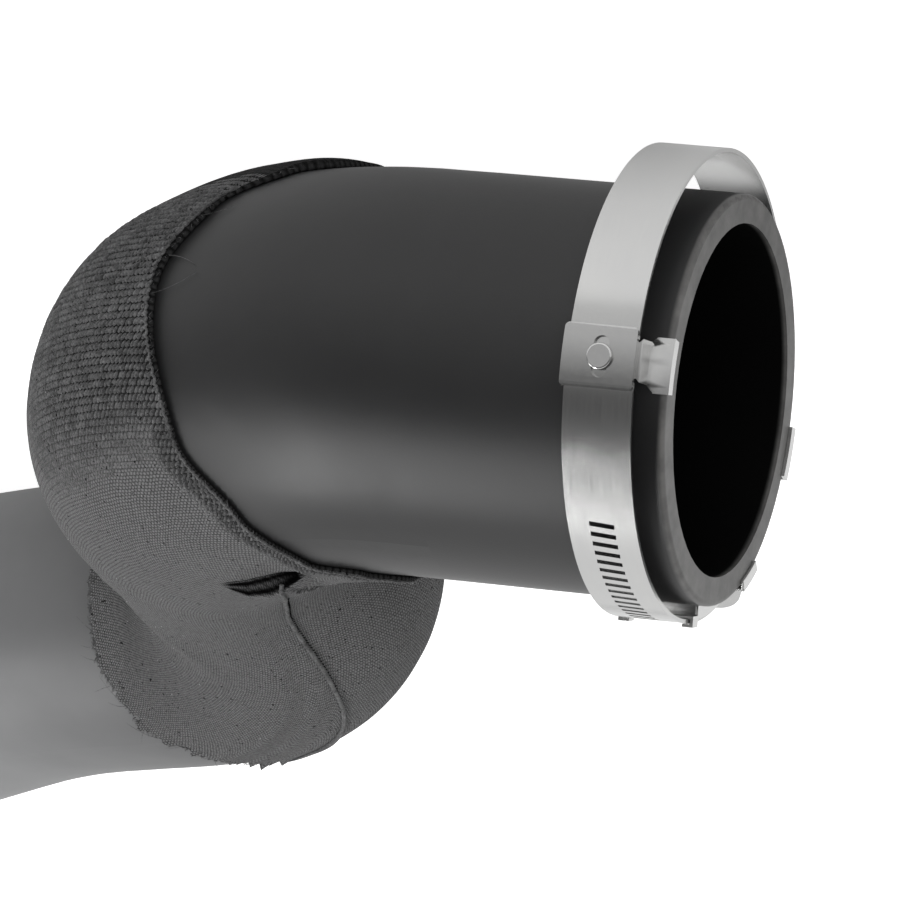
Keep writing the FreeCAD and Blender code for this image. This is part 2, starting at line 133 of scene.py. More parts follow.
# Materials
class Graph:
    # Short ways to add nodes to one tree
    def __init__(self, tree):
        self.tree = tree

    def put(self, socket, value):
        if isinstance(value, bpy.types.NodeSocket):
            self.tree.links.new(value, socket)
        else:
            socket.default_value = value

    def math(self, op, a, b=0.0):
        n = self.tree.nodes.new("ShaderNodeMath")
        n.operation = op
        self.put(n.inputs[0], a)
        self.put(n.inputs[1], b)
        return n.outputs[0]

    def add(self, a, b):
        return self.math("ADD", a, b)

    def minus(self, a, b):
        return self.math("SUBTRACT", a, b)

    def times(self, a, b):
        return self.math("MULTIPLY", a, b)

    def coords(self):
        return self.tree.nodes.new("ShaderNodeTexCoord").outputs["Object"]

    def uv(self, name):
        n = self.tree.nodes.new("ShaderNodeUVMap")
        n.uv_map = name
        return n.outputs[0]

    def attribute(self, name):
        n = self.tree.nodes.new("ShaderNodeAttribute")
        n.attribute_name = name
        return n.outputs["Fac"]

    def split(self, vector):
        n = self.tree.nodes.new("ShaderNodeSeparateXYZ")
        self.put(n.inputs[0], vector)
        return n.outputs[0], n.outputs[1], n.outputs[2]

    def join(self, x, y, z):
        n = self.tree.nodes.new("ShaderNodeCombineXYZ")
        for socket, value in zip(n.inputs, (x, y, z)):
            self.put(socket, value)
        return n.outputs[0]

    def noise(self, vector, scale, detail, rough):
        n = self.tree.nodes.new("ShaderNodeTexNoise")
        self.put(n.inputs["Vector"], vector)
        n.inputs["Scale"].default_value = scale
        n.inputs["Detail"].default_value = detail
        n.inputs["Roughness"].default_value = rough
        return n.outputs["Fac"]

    def ramp(self, value, stops):
        n = self.tree.nodes.new("ShaderNodeValToRGB")
        self.put(n.inputs[0], value)
        ramp = n.color_ramp
        while len(ramp.elements) < len(stops):
            ramp.elements.new(0.5)
        for element, (place, colour) in zip(ramp.elements, stops):
            element.position = place
            if not isinstance(colour, tuple):
                colour = (colour, colour, colour)
            element.color = colour + (1.0,)
        return n.outputs[0]

    def map(self, value, low, high, to_low, to_high):
        n = self.tree.nodes.new("ShaderNodeMapRange")
        n.clamp = True
        for socket, v in zip(n.inputs, (value, low, high, to_low, to_high)):
            self.put(socket, v)
        return n.outputs[0]

    def bump(self, height, strength, distance):
        n = self.tree.nodes.new("ShaderNodeBump")
        n.inputs["Strength"].default_value = strength
        n.inputs["Distance"].default_value = distance
        self.put(n.inputs["Height"], height)
        return n.outputs[0]

    def mix(self, factor, a, b):
        n = self.tree.nodes.new("ShaderNodeMix")
        n.data_type = "RGBA"
        self.put(n.inputs[0], factor)
        for socket, value in ((n.inputs[6], a), (n.inputs[7], b)):
            if isinstance(value, float):
                value = (value, value, value, 1.0)
            self.put(socket, value)
        return n.outputs[2]


def new_material(name):
    m = bpy.data.materials.new(name)
    m.use_nodes = True
    nodes = m.node_tree.nodes
    nodes.clear()
    out = nodes.new("ShaderNodeOutputMaterial")
    shader = nodes.new("ShaderNodeBsdfPrincipled")
    m.node_tree.links.new(shader.outputs[0], out.inputs[0])
    return m, Graph(m.node_tree), shader


# Places on the hose in metres, in the part's own frame
PALING_AIM = -0.7
PALING_FROM, PALING_TO = 0.125, 0.225
MOUTH_FACE_FROM, MOUTH_FACE_TO = -0.0012, -0.0004
BORE_SIDE, BORE_DEPTH = 0.0303, -0.07
HAZE_FROM, HAZE_TO = -0.085, -0.045
# The near black painted into the bore as its shade
BORE_PAINTED_SHADE = 0.003


def rubber():
    m, g, shader = new_material("hose_rubber_dark")
    place = g.coords()
    x, y, z = g.split(place)
    # The rubber past the sleeve is drawn paler than the front, more so further back
    reach = g.add(g.times(x, PALING_AIM), g.times(y, PALING_AIM))
    paling = g.map(reach, PALING_FROM, PALING_TO, 0.0, 1.0)
    mottle = g.noise(place, scale=35.0, detail=4.0, rough=0.55)
    dark = g.ramp(mottle, [(0.3, (0.014, 0.014, 0.0145)), (0.7, (0.019, 0.019, 0.0195))])
    pale = g.ramp(mottle, [(0.3, (0.245, 0.247, 0.251)), (0.7, (0.295, 0.297, 0.301))])
    outside = g.mix(paling, dark, pale)
    # The cut end face is drawn lighter, and the bore behind it is painted near black as painted shade inside
    # the tube
    face = g.map(x, MOUTH_FACE_FROM, MOUTH_FACE_TO, 0.0, 1.0)
    face_mottle = g.noise(place, scale=190.0, detail=4.0, rough=0.6)
    face_tone = g.ramp(face_mottle, [(0.3, (0.07, 0.069, 0.068)), (0.7, (0.16, 0.157, 0.152))])
    outside = g.mix(face, outside, face_tone)
    # Painted shade: inside the bore the colour goes near black and the reflections are weakened
    off_axis = g.math("SQRT", g.add(g.times(y, y), g.times(z, z)))
    inside = g.times(g.math("LESS_THAN", off_axis, BORE_SIDE), g.math("GREATER_THAN", x, BORE_DEPTH))
    inside = g.times(inside, g.minus(1.0, face))
    g.put(shader.inputs["Base Color"], g.mix(inside, outside, BORE_PAINTED_SHADE))
    grain = g.noise(place, scale=2600.0, detail=2.0, rough=0.6)
    wipe = g.noise(place, scale=18.0, detail=3.0, rough=0.5)
    hazy = g.map(x, HAZE_FROM, HAZE_TO, to_low=0.07, to_high=0.0)
    gloss = g.map(wipe, 0.3, 0.7, to_low=0.36, to_high=0.42)
    g.put(shader.inputs["Roughness"], g.add(gloss, hazy))
    g.put(shader.inputs["Specular IOR Level"], g.map(inside, 0.0, 1.0, to_low=0.5, to_high=0.06))
    g.put(shader.inputs["Normal"], g.bump(grain, strength=0.12, distance=0.00012))
    return m


# The middle of the clamp's loop, and how far rolling draws its lines out
LOOP_Y, LOOP_Z = 0.0012, -0.0017
ROLLED = 0.0012
DARKER, WARMER = 0.92, 0.985


def steel(name, tone, brushed):
    m, g, shader = new_material(name)
    place = g.coords()
    shader.inputs["Metallic"].default_value = 1.0
    if brushed:
        # Fine lines round the loop, as rolling leaves them on strip
        x, y, z = g.split(place)
        angle = g.math("ARCTAN2", g.minus(z, LOOP_Z), g.minus(y, LOOP_Y))
        lines = g.noise(g.join(x, g.times(angle, ROLLED), 0.0), scale=5200.0, detail=2.0, rough=0.5)
    else:
        lines = g.noise(place, scale=900.0, detail=2.0, rough=0.5)
    cloud = g.noise(place, scale=60.0, detail=2.0, rough=0.5)
    both = g.add(g.times(lines, 0.5), g.times(cloud, 0.5))
    tones = g.ramp(both, [(0.3, tone * DARKER), (0.7, (tone, tone, tone * WARMER))])
    g.put(shader.inputs["Base Color"], tones)
    g.put(shader.inputs["Roughness"], g.map(lines, 0.25, 0.75, to_low=0.17, to_high=0.24))
    g.put(shader.inputs["Normal"], g.bump(lines, strength=0.05, distance=0.00003))
    return m


STITCH_SLANT = 0.55


def stitch_height(g, u, v):
    # Slanting oval stitches, one after another in columns that run along the hose
    along = g.minus(g.math("FRACT", v), 0.5)
    across = g.minus(g.math("FRACT", g.add(u, g.times(along, STITCH_SLANT))), 0.5)
    heights = []
    for offset, power in ((across, 2.0), (along, 3.0)):
        size = g.math("ABSOLUTE", g.times(offset, 2.0))
        heights.append(g.minus(1.0, g.math("POWER", size, power)))
    return g.times(*heights)


# The fine stitches against the coarse ones: how many more across and along, and how
# far their rows wander
FINE_ACROSS, FINE_ALONG, WANDER = 1.2, 2.0, 2.2
# The near black of the cloth's painted shade
PAINTED_SHADE_TONE = 0.002


def fabric(name, woven):
    m, g, shader = new_material(name)
    place = g.coords()
    fuzz = g.noise(place, scale=1900.0, detail=4.0, rough=0.78)
    lumps = g.noise(place, scale=300.0, detail=3.0, rough=0.6)
    if woven:
        u, v, _ = g.split(g.uv("weave"))
        coarse = stitch_height(g, u, v)
        drift = g.noise(place, scale=90.0, detail=2.0, rough=0.5)
        wave = g.times(g.minus(drift, 0.5), WANDER)
        fine = stitch_height(g, g.times(u, FINE_ACROSS), g.add(g.times(v, FINE_ALONG), wave))
        share = g.attribute("coarse")
        stitch = g.add(g.times(coarse, share), g.times(fine, g.minus(1.0, share)))
    else:
        stitch = lumps
    height = g.add(g.times(stitch, 0.6), g.times(fuzz, 1.1))
    height = g.add(height, g.times(lumps, 0.5))
    # The cloth's colour follows the stitch height (the lumps for loose yarn) and the fuzz: painted shade low
    # in the gaps and painted light on the raised tops, with the fuzz's random fibre tone besides
    tone = g.add(g.times(stitch, 0.36), g.times(fuzz, 0.68))
    cloth = g.ramp(tone, [
        (0.30, (0.008, 0.008, 0.008)), (0.47, (0.070, 0.070, 0.071)), (0.68, (0.230, 0.230, 0.233))])
    # Painted shade: small pits where a loop has opened are darkened, and the shade attribute paints folds
    # and cut edges towards near black
    opened = g.noise(place, scale=1300.0, detail=1.0, rough=0.4)
    pits = g.map(opened, 0.250, 0.290, to_low=0.12, to_high=1.0)
    light = g.times(pits, g.minus(1.0, g.attribute("shade")))
    g.put(shader.inputs["Base Color"], g.mix(light, PAINTED_SHADE_TONE, cloth))
    shader.inputs["Roughness"].default_value = 0.8
    g.put(shader.inputs["Sheen Weight"], g.times(light, 0.18))
    shader.inputs["Sheen Roughness"].default_value = 0.5
    g.put(shader.inputs["Specular IOR Level"], g.times(light, 0.35))
    g.put(shader.inputs["Normal"], g.bump(height, strength=1.0, distance=0.00050))
    return m


def lint_material():
    m, g, shader = new_material("lint_pale")
    tone = g.noise(g.coords(), scale=900.0, detail=1.0, rough=0.5)
    g.put(shader.inputs["Base Color"], g.ramp(tone, [(0.3, 0.30), (0.7, 0.62)]))
    shader.inputs["Roughness"].default_value = 0.7
    return m


def dress(node, material):
    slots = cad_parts[node].data.materials
    for i in range(len(slots)):
        slots[i] = material
    if not len(slots):
        slots.append(material)


RUBBER = rubber()
KNIT = fabric("sleeve_knit", True)
YARN = fabric("sleeve_yarn", False)
BAND = steel("band_brushed", 0.68, True)
PLATE = steel("plate_plain", 0.62, False)
CLIP = steel("clip_plain", 0.76, False)
SCREW = steel("screw_plated", 0.72, False)
METAL = {
    "clamp_band": BAND, "worm_housing": PLATE, "guide_clip": CLIP, "spring_clip_near": CLIP,
    "spring_clip_far": CLIP, "cover_plate_near": PLATE, "cover_plate_far": PLATE,
    "clip_stud_near": SCREW, "clip_stud_far": SCREW, "worm_screw": SCREW,
}
dress("hose", RUBBER)
for node, material in METAL.items():
    dress(node, material)


# Sleeve: where its two raw edges lie, degrees round the hose and mm along it
FRONT_EDGE = [(0, 55), (54, 56), (66, 63), (76, 71), (102, 75), (128, 79), (176, 81.5), (202, 79), (222, 74),
              (246, 67), (310, 59), (360, 55)]
REAR_EDGE = [(0, 195), (60, 196.5), (82, 200), (106, 207), (138, 211), (180, 212), (230, 209),
             (280, 202), (330, 196), (360, 195)]
# Stitches round the sleeve, mm from row to row, degrees that a column leans per mm,
# and mm that the cloth stands over the hose
WALES = 168
COURSE = 0.68
LEAN = 0.43
CLOTH = 1.25

# The pocket where the cloth folds on the inside of the first elbow: mm along the hose
# and degrees round it, and the height in mm of its far lip from one end to the other
POCKET = [(95, 78.5), (88, 75.2), (82, 74.8), (77, 75.5), (72.7, 74.3)]
LIP = [0.0, 2.6, 3.4, 2.9, 0.0]
# The wall up to the lip is this wide and is painted dark as shade, and the cloth falls off this
# gently behind it; the wall's pleats run and turn along it and are painted lighter, as painted light
WALL, LIP_SLOPE = 1.7, 7.0
PLEAT_RATE, PLEAT_TURN, PLEAT_LIGHT = 9.0, 2.5, 0.45
# A soft ridge beside the pocket, laid down in the same way
RIDGE = [(146, 150), (153, 128), (159, 110), (170, 96)]
RIDGE_HIGH, RIDGE_WIDE = 0.9, 3.2
# Beyond these mm and degrees neither of the two changes the cloth
POCKET_REACH = ((60.0, 120.0), (30.0, 100.0))
RIDGE_REACH = ((135.0, 185.0), (80.0, 165.0))
# Millimetres on the cloth for one mm along the hose and one degree round it
ALONG_SCALE, ROUND_SCALE = 0.75, 0.634

# Soft waves of the cloth, turns per metre and mm high, and the other places where it
# lifts off the hose: degrees round it, mm along it
SOFT_WAVES = ((45.0, 0.28), (170.0, 0.07))
LOOSE_ROUND = ((128.0, 158.0), (186.0, 210.0))
LOOSE_LIFT, TIGHT_TUCK, EDGE_RUN = 0.7, 0.35, 3.0
SLACK_HIGH = 0.9
SLACK_ROUND = ((206.0, 232.0), (244.0, 272.0))
SLACK_ALONG = ((64.0, 74.0), (82.0, 104.0))
# The waves fade out over one part in this many at either end of the sleeve
FADE = 12


def edge(table, phi):
    phi %= 360.0
    for (a, va), (b, vb) in zip(table, table[1:]):
        if phi <= b:
            return va + (vb - va) * smooth(phi, a, b)
    return table[-1][1]


def near_line(line, s, phi):
    # Signed distance to a line laid on the cloth, and how far along it, 0 to 1
    x, y = s * ALONG_SCALE, phi * ROUND_SCALE
    best = (math.inf, 0.0, 0.0)
    for k, ((s0, p0), (s1, p1)) in enumerate(zip(line, line[1:])):
        ax, ay = s0 * ALONG_SCALE, p0 * ROUND_SCALE
        bx, by = s1 * ALONG_SCALE - ax, p1 * ROUND_SCALE - ay
        t = min(max(((x - ax) * bx + (y - ay) * by) / (bx * bx + by * by), 0.0), 1.0)
        dx, dy = x - ax - t * bx, y - ay - t * by
        size = math.hypot(dx, dy)
        if size < best[0]:
            side = 1.0 if bx * dy - by * dx > 0 else -1.0
            best = (size, side, (k + t) / (len(line) - 1))
    return best[0] * best[1], best[2]


def beyond(reach, s, phi):
    (s_from, s_to), (phi_from, phi_to) = reach
    return not (s_from < s < s_to and phi_from < phi < phi_to)


def pocket(s, phi):
    # Extra lift and painted shade of the fold: the far side stands up behind a wall painted dark as shade,
    # with lighter painted pleats
    phi %= 360.0
    if beyond(POCKET_REACH, s, phi):
        return 0.0, 0.0
    d, t = near_line(POCKET, s, phi)
    place = t * (len(LIP) - 1)
    k = min(int(place), len(LIP) - 2)
    high = LIP[k] + (LIP[k + 1] - LIP[k]) * (place - k)
    # Painted shade on the near side, just short of the line
    if d <= 0:
        return 0.0, min(1.0, high) * (1.0 - smooth(-d, 0.1, 0.4))
    pleat = 0.5 + 0.5 * math.sin(PLEAT_RATE * d + PLEAT_TURN * t)
    rise = smooth(d, 0.0, WALL) * math.exp(-(max(d - WALL, 0.0) / LIP_SLOPE) ** 2)
    shade_kept = 1.0 - PLEAT_LIGHT * pleat ** 2 * (1.0 - smooth(t, 0.45, 0.9))
    shade = min(1.0, high) * shade_kept * (1.0 - smooth(d, 1.25, 1.6))
    return high * rise, shade


def ridge(s, phi):
    phi %= 360.0
    if beyond(RIDGE_REACH, s, phi):
        return 0.0
    d, t = near_line(RIDGE, s, phi)
    return RIDGE_HIGH * math.sin(math.pi * t) ** 0.6 * math.exp(-(d / RIDGE_WIDE) ** 2)


def cloth_lift(s, phi, t):
    # How high the cloth stands over the hose and how shaded it lies; t runs from 0 at
    # the front edge to 1 at the rear one
    p = on_hose(s, phi, CLOTH)
    soft = sum(noise.noise(p * rate) * size for rate, size in SOFT_WAVES)
    fold, shade = pocket(s, phi)
    # The front edge lies loose outside the bend and pulls in elsewhere
    rolled = LOOSE_LIFT * within(phi, *LOOSE_ROUND) - TIGHT_TUCK
    rolled *= 1.0 - smooth(s - edge(FRONT_EDGE, phi), 0.0, EDGE_RUN)
    # The cloth hangs slack under the hose just behind its front edge
    slack = SLACK_HIGH * within(phi, *SLACK_ROUND) * within(s, *SLACK_ALONG)
    soft *= min(1.0, FADE * t, FADE * (1 - t))
    return CLOTH + soft + fold + ridge(s, phi) + rolled + slack, shade


# Degrees round the hose between which the stitches stand out, and the rows over which
# they sink again: outside the first bend, and along the front edge alone
OUTER_ROUND, OUTER_ROWS = ((120.0, 152.0), (202.0, 220.0)), (18.0, 52.0)
FIRST_ROUND, FIRST_ROWS = ((56.0, 66.0), (202.0, 220.0)), (2.5, 5.5)


def stitched(row, phi):
    # How fully the stitches stand out, 0 to 1: many rows outside the first bend,
    # and only the first few rows further round
    outer = within(phi, *OUTER_ROUND) * (1.0 - smooth(row, *OUTER_ROWS))
    first = within(phi, *FIRST_ROUND) * (1.0 - smooth(row, *FIRST_ROWS))
    return max(outer, first)


def finish_mesh(bm, name, material):
    bmesh.ops.recalc_face_normals(bm, faces=bm.faces)
    mesh = bpy.data.meshes.new(name)
    bm.to_mesh(mesh)
    bm.free()
    obj = bpy.data.objects.new(name, mesh)
    bpy.context.scene.collection.objects.link(obj)
    obj.data.materials.append(material)
    return obj


# How densely the columns of the sleeve's mesh stand: from and to degrees, and weight
SAMPLES = 720
IN_VIEW = (35.0, 225.0, 2.4)
AT_POCKET = (61.0, 79.0, 3.0)


def dense_angles(count):
    # Columns round the sleeve, closer on the side that lies open to view and closest
    # at the pocket
    weights = [1.0] * SAMPLES
    for start, stop, more in (IN_VIEW, AT_POCKET):
        for i in range(SAMPLES):
            if start < 360.0 * i / SAMPLES < stop:
                weights[i] *= more
    total = sum(weights)
    angles, passed, i = [], 0.0, 0
    for k in range(count):
        goal = total * k / count
        while passed + weights[i] < goal:
            passed += weights[i]
            i += 1
        angles.append(360.0 * (i + (goal - passed) / weights[i]) / SAMPLES)
    return angles


# The cut faces of the cloth and its underside: mm from the edge, mm of lift, shade
FRONT_CUT = ((-0.1, 0.06, 0.9), (-0.25, 0.35, 0.85), (-0.2, 0.75, 0.75))
REAR_CUT = ((0.15, 0.7, 0.7), (0.05, 0.06, 1.0))
UNDERSIDE = (0.06, 1.0)
FRAY_OUT, FRAY_UP, FRAY_RUN = 1.7, 1.3, 1.8


def wander(phi, rate, row, layer=0.0):
    # An uneven line round the hose: rate is its turns per degree, row and layer choose it
    return noise.noise(Vector((phi * rate, row, layer)))


def sleeve_edges(phi):
    # The raw edges at this angle, and how far the rear one has frayed out here
    front = edge(FRONT_EDGE, phi) + 0.22 * wander(phi, 0.9, 3.0)
    rear = edge(REAR_EDGE, phi) + 0.5 * wander(phi, 0.35, 9.0)
    frayed = wander(phi, 0.22, 5.0, 2.0) + 0.5 * wander(phi, 0.8, 1.0, 2.0)
    return front, rear + FRAY_OUT * frayed, frayed


def sleeve_section(phi, along, back):
    # The sheet's closed outline at one angle, over the top and back under the cloth
    front, rear, frayed = sleeve_edges(phi)
    section = [(front + d, lift, shade) for d, lift, shade in FRONT_CUT]
    for j in range(along + 1):
        t = j / along
        s = front + (rear - front) * (0.62 * t + 0.38 * t * t)
        lift, shade = cloth_lift(s, phi, t)
        lift += FRAY_UP * max(frayed, 0.0) * smooth(s, rear - FRAY_RUN, rear)
        section.append((s, lift, shade))
    section += [(rear + d, lift, shade) for d, lift, shade in REAR_CUT]
    for k in range(1, back):
        section.append((rear + (front - rear) * k / back, *UNDERSIDE))
    return front, section


# Shade between the raised stitches, least and more, and shade on the far underside
GAP_SHADE, GAP_DEEPER, GAP_ROUND = 0.45, 0.35, (118.0, 150.0)
BELOW_SHADE, BELOW_ROUND, BELOW_ALONG = 0.82, ((180.0, 212.0), (245.0, 300.0)), (110.0, 140.0)
# Where the knit is drawn coarse: degrees round the hose, and mm along it where it ends
COARSE_ROUND, COARSE_ALONG = ((116.0, 146.0), (225.0, 240.0)), (100.0, 132.0)


def full_shade(s, phi, row, lift, shade):
    # The deepest of the fold's shade, the gaps between stitches and the far underside
    gaps = 0.0
    if lift > 0.1:
        gaps = (GAP_SHADE + GAP_DEEPER * smooth(phi, *GAP_ROUND)) * stitched(row, phi)
    below = BELOW_SHADE * within(phi, *BELOW_ROUND) * (1.0 - smooth(s, *BELOW_ALONG))
    return max(shade, gaps, below)


def build_sleeve(around=384, along=232, back=12):
    bm = bmesh.new()
    uv = bm.loops.layers.uv.new("weave")
    shade_layer = bm.verts.layers.float.new("shade")
    coarse_layer = bm.verts.layers.float.new("coarse")
    columns = []
    for phi in dense_angles(around):
        front, section = sleeve_section(phi, along, back)
        column = []
        for s, lift, shade in section:
            row = (s - front) / COURSE
            vert = bm.verts.new(on_hose(s, phi, lift))
            vert[shade_layer] = full_shade(s, phi, row, lift, shade)
            vert[coarse_layer] = within(phi, *COARSE_ROUND) * (1.0 - smooth(s, *COARSE_ALONG))
            column.append((vert, row, (phi - LEAN * (s - front)) / 360.0 * WALES))
        columns.append(column)
    size = len(columns[0])
    for i in range(around):
        here, there = columns[i], columns[(i + 1) % around]
        for j in range(size):
            k = (j + 1) % size
            quad = (here[j], here[k], there[k], there[j])
            face = bm.faces.new([q[0] for q in quad])
            face.smooth = True
            for n, (loop, q) in enumerate(zip(face.loops, quad)):
                wrap = WALES if i == around - 1 and n > 1 else 0.0
                loop[uv].uv = (q[1], q[2] + wrap)
    return finish_mesh(bm, "sleeve_cloth", KNIT)


# Where the raised stitches run, degrees round the hose, how far their foot is sunk in
# the cloth, and where none is laid
STITCH_FROM, STITCH_TO = 46.0, 232.0
SUNK = -0.05
TOO_FLAT, TOO_DARK = 0.05, 0.2


def build_stitches(rows=52, sides=8):
    # The coarse stitches on the outside of the first bend, one small pillow each
    bm = bmesh.new()
    rng = random.Random(4)
    for wale in range(int(STITCH_FROM / 360.0 * WALES), int(STITCH_TO / 360.0 * WALES)):
        for row in range(rows):
            mid = (wale + 0.5) * 360.0 / WALES + LEAN * (row + 0.5) * COURSE
            fade = stitched(row, mid)
            if fade < TOO_FLAT:
                continue
            s = edge(FRONT_EDGE, mid) + (row + 0.5 + 0.3 * (rng.random() - 0.5)) * COURSE
            lift, shade = cloth_lift(s, mid, 0.3)
            if shade > TOO_DARK:
                continue
            long = (0.43 + 0.05 * rng.random()) * 360.0 / WALES
            wide = (0.37 + 0.07 * rng.random()) * COURSE
            high = (0.34 + 0.30 * rng.random()) * fade
            lean = (0.28 + 0.22 * rng.random()) * COURSE
            top = bm.verts.new(on_hose(s, mid, lift + high))
            rings = []
            for size, up in ((1.0, SUNK), (0.88, 0.5 * high), (0.5, 0.9 * high)):
                ring = []
                for k in range(sides):
                    a = 2 * math.pi * k / sides
                    dp = size * math.cos(a)
                    ds = size * wide * math.sin(a) - lean * dp
                    ring.append(bm.verts.new(on_hose(s + ds, mid + long * dp, lift + up)))
                rings.append(ring)
            for k in range(sides):
                n = (k + 1) % sides
                for lower, upper in zip(rings, rings[1:]):
                    bm.faces.new((lower[k], lower[n], upper[n], upper[k]))
                bm.faces.new((rings[-1][k], rings[-1][n], top))
    for face in bm.faces:
        face.smooth = True
    return finish_mesh(bm, "sleeve_stitches", YARN)


def tube(bm, points, sizes, sides=4):
    # A round cord through the points, its radius in mm given at each of them
    rings = []
    for i, point in enumerate(points):
        along = (points[min(i + 1, len(points) - 1)] - points[max(i - 1, 0)]).normalized()
        side = along.cross(Vector((0.2, 0.1, 1.0))).normalized()
        up = along.cross(side)
        ring = []
        for k in range(sides):
            a = 2 * math.pi * k / sides
            ring.append(bm.verts.new(point + sizes[i] * MM * (math.cos(a) * side + math.sin(a) * up)))
        rings.append(ring)
    for low, high in zip(rings, rings[1:]):
        for k in range(sides):
            n = (k + 1) % sides
            bm.faces.new((low[k], low[n], high[n], high[k])).smooth = True
    bm.faces.new(rings[0])
    bm.faces.new(rings[-1])
    return [vert for ring in rings for vert in ring]


# The seam down the inside of the second bend: mm along the hose, degrees round it.
# The cord's radius and lift, its first overlock stitch, and that thread's radius
SEAM = [(78, 74), (82, 67.5), (90, 61), (100, 56), (118, 53.5), (136, 56), (147, 59.5), (159, 60.5),
        (170, 57.5), (178, 52), (188, 45.3), (197, 44.5)]
CORD_R, CORD_LIFT = 0.44, 0.30
OVERLOCK_FROM, THREAD_R, THREAD_SHADE = 8, 0.13, 0.95


def spline(points, pieces=14):
    # Smooth line through points, in the Catmull-Rom way
    out = []
    ends = [points[0]] + list(points) + [points[-1]]
    for a, b, c, d in zip(ends, ends[1:], ends[2:], ends[3:]):
        for k in range(pieces):
            t = k / pieces
            out.append(tuple(
                0.5 * (2 * q + (r - p) * t + (2 * p - 5 * q + 4 * r - w) * t * t
                       + (3 * q - p - 3 * r + w) * t ** 3)
                for p, q, r, w in zip(a, b, c, d)))
    return out + [points[-1]]


def build_seam():
    bm = bmesh.new()
    shade_layer = bm.verts.layers.float.new("shade")
    line = spline(SEAM)
    lifted = [cloth_lift(s, phi, 0.5)[0] for s, phi in line]
    points = [on_hose(s, phi, lift + CORD_LIFT) for (s, phi), lift in zip(line, lifted)]
    # The cord thins out over its last points
    sizes = [CORD_R * min(1.0, 0.3 + 0.05 * (len(points) - i)) for i in range(len(points))]
    tube(bm, points, sizes, 8)
    # Small stitches of the overlock thread in the shade beside the cord
    for k in range(OVERLOCK_FROM, len(line) - 1):
        s, phi = line[k]
        loop = []
        for n in range(4):
            aside = (0.30 + 0.18 * n) / ROUND_SCALE
            loop.append(on_hose(s + 0.2 * n, phi - aside, lifted[k] + 0.12 - 0.05 * n))
        for vert in tube(bm, loop, [THREAD_R] * 4):
            vert[shade_layer] = THREAD_SHADE
    return finish_mesh(bm, "sleeve_seam", YARN)


# Ends of yarn on the rear edge, the first few of them long, and on the front edge
REAR_ENDS, LONG_ENDS, FRONT_ENDS = 520, 15, 190
LONG_R, SHORT_R, HAIR_R = 0.07, 0.08, 0.05
# Three long hairs that cross the gap at the front edge: degrees round, length, curl
HAIRS = ((170.0, 6.0, 5.0), (182.0, 5.0, -4.0), (196.0, 4.0, 4.0))


def build_fibres():
    # Loose ends of yarn along both raw edges
    bm = bmesh.new()
    rng = random.Random(11)
    for n in range(REAR_ENDS):
        phi = rng.uniform(52.0, 205.0)
        s = edge(REAR_EDGE, phi) + rng.uniform(-0.3, 0.4)
        if n < LONG_ENDS:
            size, thick = rng.uniform(2.5, 4.5), LONG_R
        else:
            size = rng.uniform(0.3, 0.9)
            thick = rng.uniform(0.07, 0.20)
        curl, sway = rng.uniform(-5.0, 5.0), rng.uniform(-3.0, 3.0)
        points = []
        for k in range(6):
            t = k / 5
            turned = (sway * t + curl * t * t) * size * 0.6
            points.append(on_hose(s + size * t * 0.9, phi + turned, 0.9 + size * (0.15 * t + 0.25 * t * t)))
        tube(bm, points, [thick * (1.0 - 0.7 * k / 5) for k in range(6)])
    for _ in range(FRONT_ENDS):
        phi = rng.uniform(62.0, 226.0)
        s = edge(FRONT_EDGE, phi) + rng.uniform(-0.1, 0.5)
        size = rng.uniform(0.35, 0.9)
        sway, curl = rng.uniform(-2.0, 2.0), rng.uniform(-2.0, 2.0)
        points = []
        for k in range(5):
            t = k / 4
            back = size * t * rng.uniform(0.5, 0.9)
            turned = (sway * t + curl * t * t) * size
            points.append(on_hose(s - back, phi + turned, CLOTH - 0.2 + 0.5 * size * t * (1.0 - 1.3 * t)))
        tube(bm, points, [SHORT_R * (1.0 - 0.6 * k / 4) for k in range(5)])
    for phi, size, curl in HAIRS:
        points = []
        for k in range(10):
            t = k / 9
            s = edge(FRONT_EDGE, phi) + 0.5 - size * t
            points.append(on_hose(s, phi + curl * t ** 2, CLOTH - 0.1 - 0.9 * t))
        tube(bm, points, [HAIR_R] * 10)
    return finish_mesh(bm, "sleeve_fibres", YARN)


# The row of loops on the front edge: from and to degrees, the degrees of one loop and
# how far the next one overlaps it
ROLL_FROM, ROLL_TO = 52.0, 207.0
ROLL_STEPS = (1.3, 2.9)
ROLL_OVERLAP = 1.15


def build_front_roll():
    # The raised first row along the front edge, a chain of loops lying on the fold
    bm = bmesh.new()
    rng = random.Random(7)
    phi = ROLL_FROM
    sizes = [0.14 + 0.13 * math.sin(math.pi * (0.15 + 0.7 * k / 4)) for k in range(5)]
    while phi < ROLL_TO:
        s = edge(FRONT_EDGE, phi)
        lift = cloth_lift(s + 0.2, phi, 0.02)[0]
        step = rng.uniform(*ROLL_STEPS)
        slope = edge(FRONT_EDGE, phi + step) - s
        points = []
        for k in range(5):
            t = k / 4
            arch = math.sin(math.pi * t)
            along = s + 0.25 + slope * t - 0.45 * arch
            points.append(on_hose(along, phi + step * ROLL_OVERLAP * t, lift + 0.06 + 0.16 * arch))
        tube(bm, points, sizes, 6)
        phi += step
    return finish_mesh(bm, "sleeve_front_loops", YARN)


SPECKS = 110
SPECK_SIZES = (0.05, 0.12)


